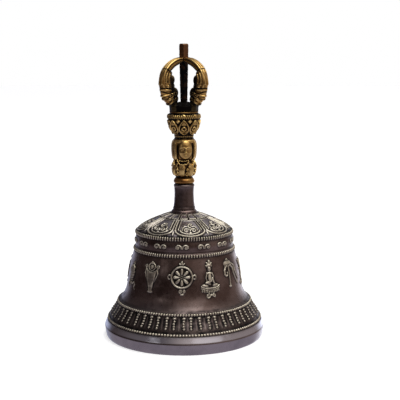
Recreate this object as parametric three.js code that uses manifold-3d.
// A Tibetan hand bell: a cast bell-metal shell on a stacked brass handle that ends in a
// four-pronged half vajra, with an iron clapper hanging inside on a wire link.
// Millimetres, +Z up. The origin is the centre of the mouth, on the surface the bell stands on.

import * as THREE from "three";
import { mergeVertices } from "three/addons/utils/BufferGeometryUtils.js";
import Module from "manifold-3d";

const wasm = await Module();
wasm.setup();

// ---------------------------------------------------------------- driving dimensions

const HEIGHT = 180; // floor to the tip of the centre prong
const LIP_R = 49.9; // the widest radius, just above the mouth
const MOUTH_R = 43.9; // inside edge of the lip, at the floor
const BRIM_Z = 66.2; // where the wall turns into the dome
const BOSS_TOP_Z = 78.8; // seat for the neck sleeve, on top of the dome
const CROWN_UNDER_Z = 72; // underside of the dome at the middle

const ROD_R = 2.5; // iron rod that ties the whole handle to the shell
const BORE_R = 3; // hole for that rod in each casting
const GAP = 0.3; // clearance between neighbouring castings

const NECK_TOP_Z = 94.5;
const RING_TOP_Z = 99;
const VASE_TOP_Z = 109.6;
const HEAD_TOP_Z = 123;
const LOTUS_TOP_Z = 139.5;
const HUB_TOP_Z = 143;
const ROD_TOP_Z = 140.5;

const PRONG_COUNT = 4;
const PRONG_HALF_WIDTH = 2.4;
const PRONG_ROUNDING = 0.7;
const PRONG_MAX_R = 19.9; // the belly of an outer prong
const PRONG_TOP_Z = 171.9;
const SPIKE_CORNER_TOP = 2.85; // axis to corner of the square centre prong
const SPIKE_CORNER_FOOT = 2.1;

const WIRE_R = 1.1; // wire of the clapper's two eyes
const LINK_WIRE_R = 1;
const EYE_R = 3.1; // centreline radius of both eyes
const PIVOT_EYE_Z = 58.5; // wire centre at the bottom of the fixed eye: the link swings here
const PIVOT_LINK_Z = 51.4; // wire centre at the bottom of the link: the clapper rocks here
const LINK_BEND_R = 2.9;
const BOB_Z = 11.5; // middle of the clapper's bob
const BOB_R = 9;

const SHELL_SEGMENTS = 60;
const HANDLE_SEGMENTS = 32;
const SMALL_SEGMENTS = 20; // round ironmongery

// ---------------------------------------------------------------- materials

const bellMetal = material("bell_metal", 0x51443d, 0.38, 0.9);
const brass = material("brass", 0x9c7436, 0.36, 0.95);
const neckBronze = material("neck_bronze", 0x54443e, 0.32, 0.9);
const iron = material("iron", 0x35312e, 0.6, 0.8);
const steelWire = material("steel_wire", 0x8b8a88, 0.35, 1);

function material(name, color, roughness, metalness) {
  return new THREE.MeshStandardMaterial({ name, color, roughness, metalness });
}

// ---------------------------------------------------------------- helpers

// A solid of revolution about Z from [radius, height] pairs. The outline closes on itself,
// or starts and ends on the axis, and runs anticlockwise with the material on its left.
function turned(outline, segments = HANDLE_SEGMENTS) {
  const points = outline.map(([r, z]) => new THREE.Vector2(r, z));
  const onAxis = outline[0][0] === 0 && outline.at(-1)[0] === 0;
  if (!onAxis) points.push(points[0].clone());
  return new THREE.LatheGeometry(points, segments).rotateX(Math.PI / 2);
}

// Points along a smooth curve through a few [a, b] pairs.
function smooth(pairs, count) {
  const curve = new THREE.SplineCurve(pairs.map(([a, b]) => new THREE.Vector2(a, b)));
  return curve.getPoints(count).map((p) => [p.x, p.y]);
}

function solidOf(geometry) {
  const bare = geometry.index ? geometry.toNonIndexed() : geometry.clone();
  bare.deleteAttribute("normal");
  bare.deleteAttribute("uv");
  const merged = mergeVertices(bare, 1e-4);
  return new wasm.Manifold(
    new wasm.Mesh({
      numProp: 3,
      vertProperties: new Float32Array(merged.attributes.position.array),
      triVerts: new Uint32Array(merged.index.array),
    }),
  );
}

function geometryOf(solid) {
  const mesh = solid.getMesh();
  const geometry = new THREE.BufferGeometry();
  geometry.setAttribute("position", new THREE.BufferAttribute(mesh.vertProperties, 3));
  geometry.setIndex(new THREE.BufferAttribute(mesh.triVerts, 1));
  geometry.computeVertexNormals();
  return geometry;
}

function joined(first, second) {
  return geometryOf(solidOf(first).add(solidOf(second)));
}

function drilled(body, tool) {
  return geometryOf(solidOf(body).subtract(solidOf(tool)));
}

// A ring of wire about a horizontal axis, "x" or "y", with its centre at height z.
function wireEye(axis, z, ringR, wireR) {
  const ring = new THREE.TorusGeometry(ringR, wireR, 10, SMALL_SEGMENTS);
  if (axis === "x") ring.rotateY(Math.PI / 2);
  else ring.rotateX(Math.PI / 2);
  return ring.translate(0, 0, z);
}

function rod(radius, bottomZ, topZ, segments = SMALL_SEGMENTS) {
  return turned([[0, bottomZ], [radius, bottomZ], [radius, topZ], [0, topZ]], segments);
}

// ---------------------------------------------------------------- the bell shell

// One casting: thick lip, bead rings, flared waist, upper band, dome and the boss for the neck.
function bellShell() {
  const lip = [[48.4, 0], ...smooth([[49.3, 1.6], [LIP_R, 4.6], [49.7, 7.2]], 5)];
  const lowerBand = [[48, 10.7], [48.7, 11.6], [47.4, 12.5], [45.8, 14.5], [43.2, 17.9], [41.5, 21.2]];
  const waist = [
    [41.7, 22.3],
    [40.2, 23.3],
    ...smooth([[39.3, 24.1], [36.3, 30], [34.4, 40.5], [32.3, 49.5], [31, 54.4]], 10),
  ];
  const upperBand = [[31.4, 55.4], [30.1, 57], [30.3, 61], [29.8, 64], [30.3, 65.2]];
  const dome = smooth([[30, BRIM_Z], [26.3, 68.8], [18.6, 72.7], [10.5, 75.8]], 6);
  const boss = [[8.3, 76.6], [7.3, 77.6], [7.1, BOSS_TOP_Z], [BORE_R, BOSS_TOP_Z]];
  const crownUnderside = [[BORE_R, CROWN_UNDER_Z], [8.5, CROWN_UNDER_Z]];
  const inside = smooth(
    [[13, 71], [24.3, 66], [27.4, 60], [30.9, 43], [33.1, 29], [37.8, 15.5], [42.2, 6.4], [MOUTH_R, 0]],
    14,
  );
  const outside = [...lip, ...lowerBand, ...waist, ...upperBand, ...dome, ...boss];
  return turned([...outside, ...crownUnderside, ...inside], SHELL_SEGMENTS);
}

// ---------------------------------------------------------------- the handle castings

function neckSleeve() {
  const bottomZ = BOSS_TOP_Z + GAP;
  const outside = smooth([[6.75, bottomZ], [6.25, 83], [5.95, 88.5], [6.15, 93.5], [6, NECK_TOP_Z]], 8);
  return turned([[BORE_R, bottomZ], ...outside, [BORE_R, NECK_TOP_Z]]);
}

function handleRing() {
  const bottomZ = NECK_TOP_Z + GAP;
  const outside = smooth([[5, bottomZ], [6.3, 96], [6.4, 97.2], [5.4, RING_TOP_Z]], 6);
  return turned([[BORE_R, bottomZ], ...outside, [BORE_R, RING_TOP_Z]]);
}

function handleVase() {
  const bottomZ = RING_TOP_Z + GAP;
  const outside = smooth([[5.5, bottomZ], [7.2, 102.3], [7.5, 104.9], [6.6, 107.7], [6.2, VASE_TOP_Z]], 9);
  return turned([[BORE_R, bottomZ], ...outside, [BORE_R, VASE_TOP_Z]]);
}

function handleHead() {
  const bottomZ = VASE_TOP_Z + GAP;
  const outside = smooth([[6.5, bottomZ], [7.5, 112.8], [7.9, 117], [7.5, 120.4], [6, HEAD_TOP_Z]], 8);
  return turned([[BORE_R, bottomZ], ...outside, [BORE_R, HEAD_TOP_Z]]);
}

function handleLotus() {
  const bottomZ = HEAD_TOP_Z + GAP;
  const bowl = smooth([[6.2, bottomZ], [7.2, 126], [9.4, 129], [10.3, 133.5]], 8);
  const rim = [[10.6, 134.3], [10.6, 136], [9.6, 137.2], [8.8, LOTUS_TOP_Z]];
  return turned([[BORE_R, bottomZ], ...bowl, ...rim, [BORE_R, LOTUS_TOP_Z]]);
}

// ---------------------------------------------------------------- the half vajra

// The hub carries the prongs. The rod screws into its underside and the centre prong's tang
// sits in the hole in its top.
function vajraHub() {
  const bottomZ = LOTUS_TOP_Z + GAP;
  const web = ROD_TOP_Z + GAP;
  return turned([
    [BORE_R, bottomZ],
    [9.2, bottomZ],
    [9.8, 141.6],
    [9.6, HUB_TOP_Z],
    [2.1, HUB_TOP_Z],
    [2.1, web],
    [BORE_R, web],
  ]);
}

// One outer prong: a crescent that rises from a sea-monster head and bends in to the centre
// prong. Its outline lies in the radial plane, its edges are rounded, and it narrows towards
// the tip, where the four prongs meet.
function outerProng(azimuth) {
  const footZ = HUB_TOP_Z + GAP;
  const tipR = SPIKE_CORNER_TOP / Math.SQRT2 + GAP;
  const outer = smooth(
    [
      [9.4, footZ],
      [14.9, 144.5],
      [18, 148.5],
      [PRONG_MAX_R, 155.5],
      [18.4, 162],
      [13.2, 168],
      [7.2, 171],
      [tipR, PRONG_TOP_Z],
    ],
    20,
  );
  const inner = smooth([[tipR, 168.9], [8, 167], [12.8, 164.7], [15.7, 160.9], [15.2, 158.6]], 9);
  const head = [[11.6, 158.2], [10.9, 155.2], [8.8, 153.4], [8.1, 150.6], [6.9, 149], [6.2, footZ]];
  const shape = new THREE.Shape([...outer, ...inner, ...head].map(([r, z]) => new THREE.Vector2(r, z)));
  const prong = new THREE.ExtrudeGeometry(shape, {
    depth: 2 * (PRONG_HALF_WIDTH - PRONG_ROUNDING),
    steps: 1,
    bevelThickness: PRONG_ROUNDING,
    bevelSize: PRONG_ROUNDING,
    bevelOffset: -PRONG_ROUNDING,
    bevelSegments: 2,
  });
  prong.translate(0, 0, PRONG_ROUNDING - PRONG_HALF_WIDTH).rotateX(Math.PI / 2);
  const place = prong.attributes.position;
  for (let i = 0; i < place.count; i++) {
    const narrowing = Math.min(1, 0.6 + 0.05 * place.getX(i));
    place.setY(i, place.getY(i) * narrowing);
  }
  return prong.rotateZ(azimuth);
}

// The square centre prong, with a corner towards the front, a chamfered tip and a round tang.
function centreProng() {
  const footZ = HUB_TOP_Z + GAP;
  const shaft = turned(
    [
      [0, footZ],
      [SPIKE_CORNER_FOOT, footZ],
      [SPIKE_CORNER_TOP, HEIGHT - 0.8],
      [SPIKE_CORNER_TOP - 0.7, HEIGHT],
      [0, HEIGHT],
    ],
    4,
  );
  return joined(shaft, rod(1.7, ROD_TOP_Z + 2 * GAP, footZ + 1, 16));
}

// ---------------------------------------------------------------- ironmongery and clapper

function coreRod() {
  return rod(ROD_R, CROWN_UNDER_Z - 4.4, ROD_TOP_Z);
}

function crownWasher() {
  const topZ = CROWN_UNDER_Z - GAP;
  const bottomZ = topZ - 1;
  return turned([[BORE_R, bottomZ], [7, bottomZ], [7, topZ], [BORE_R, topZ]], SMALL_SEGMENTS);
}

// A hexagonal nut forged with an eye below it. It screws onto the rod and pulls the stack tight.
function clapperEye() {
  const topZ = CROWN_UNDER_Z - 1 - 2 * GAP;
  const bottomZ = PIVOT_EYE_Z + 2 * EYE_R;
  const nut = turned([[0, bottomZ], [4.6, bottomZ], [4.6, topZ], [0, topZ]], 6);
  const hole = rod(ROD_R + GAP, bottomZ + 1.8, topZ + 1);
  return joined(drilled(nut, hole), wireEye("x", PIVOT_EYE_Z + EYE_R, EYE_R, WIRE_R));
}

// A closed oval of wire: a round ring whose two halves are pulled apart.
function clapperLink() {
  const topZ = PIVOT_EYE_Z + WIRE_R + LINK_WIRE_R + GAP;
  const stretch = (topZ - PIVOT_LINK_Z) / 2 - LINK_BEND_R;
  const ring = new THREE.TorusGeometry(LINK_BEND_R, LINK_WIRE_R, 10, SMALL_SEGMENTS);
  ring.rotateX(Math.PI / 2).rotateY(Math.PI / SMALL_SEGMENTS);
  const place = ring.attributes.position;
  for (let i = 0; i < place.count; i++) {
    const turn = Math.atan2(place.getZ(i), place.getX(i));
    const upper = turn > -1e-3 && turn < Math.PI + 1e-3;
    place.setZ(i, place.getZ(i) + (upper ? stretch : -stretch));
  }
  return ring.translate(0, 0, (topZ + PIVOT_LINK_Z) / 2);
}

function clapperRod() {
  const eyeTopZ = PIVOT_LINK_Z + LINK_WIRE_R + WIRE_R + GAP;
  const eyeZ = eyeTopZ - EYE_R;
  const shaft = turned(
    [
      [0, BOB_Z - BOB_R + 1.2],
      [1.8, BOB_Z - BOB_R + 1.2],
      [1.8, BOB_Z + BOB_R],
      [1.5, eyeZ - EYE_R],
      [0, eyeZ - EYE_R],
    ],
    SMALL_SEGMENTS,
  );
  return joined(shaft, wireEye("x", eyeZ, EYE_R, WIRE_R));
}

// The striking bob, a cast drop threaded on the rod.
function clapperBob() {
  const bore = 1.8 + GAP;
  const outside = smooth(
    [
      [4.6, BOB_Z - BOB_R + 0.6],
      [8.2, BOB_Z - 4.4],
      [BOB_R, BOB_Z],
      [6.9, BOB_Z + 6.2],
      [3.3, BOB_Z + 11],
    ],
    12,
  );
  return turned([[bore, BOB_Z - BOB_R + 0.6], ...outside, [bore, BOB_Z + 11]], SMALL_SEGMENTS);
}

// ---------------------------------------------------------------- assembly

const bell = new THREE.Group();

function add(name, geometry, finish) {
  const mesh = new THREE.Mesh(geometry, finish);
  mesh.name = name;
  bell.add(mesh);
}

add("bell_shell", bellShell(), bellMetal);
add("neck_sleeve", neckSleeve(), neckBronze);
add("handle_ring", handleRing(), brass);
add("handle_vase", handleVase(), brass);
add("handle_head", handleHead(), brass);
add("handle_lotus", handleLotus(), brass);
add("vajra_hub", vajraHub(), brass);
["rear_right", "rear_left", "front_left", "front_right"].forEach((place, i) => {
  const azimuth = ((i + 0.5) * 2 * Math.PI) / PRONG_COUNT;
  add("prong_" + place, outerProng(azimuth), brass);
});
add("centre_prong", centreProng(), brass);
add("core_rod", coreRod(), iron);
add("crown_washer", crownWasher(), iron);
add("clapper_eye", clapperEye(), iron);
add("clapper_link", clapperLink(), steelWire);
add("clapper_rod", clapperRod(), iron);
add("clapper_bob", clapperBob(), iron);

export default bell;
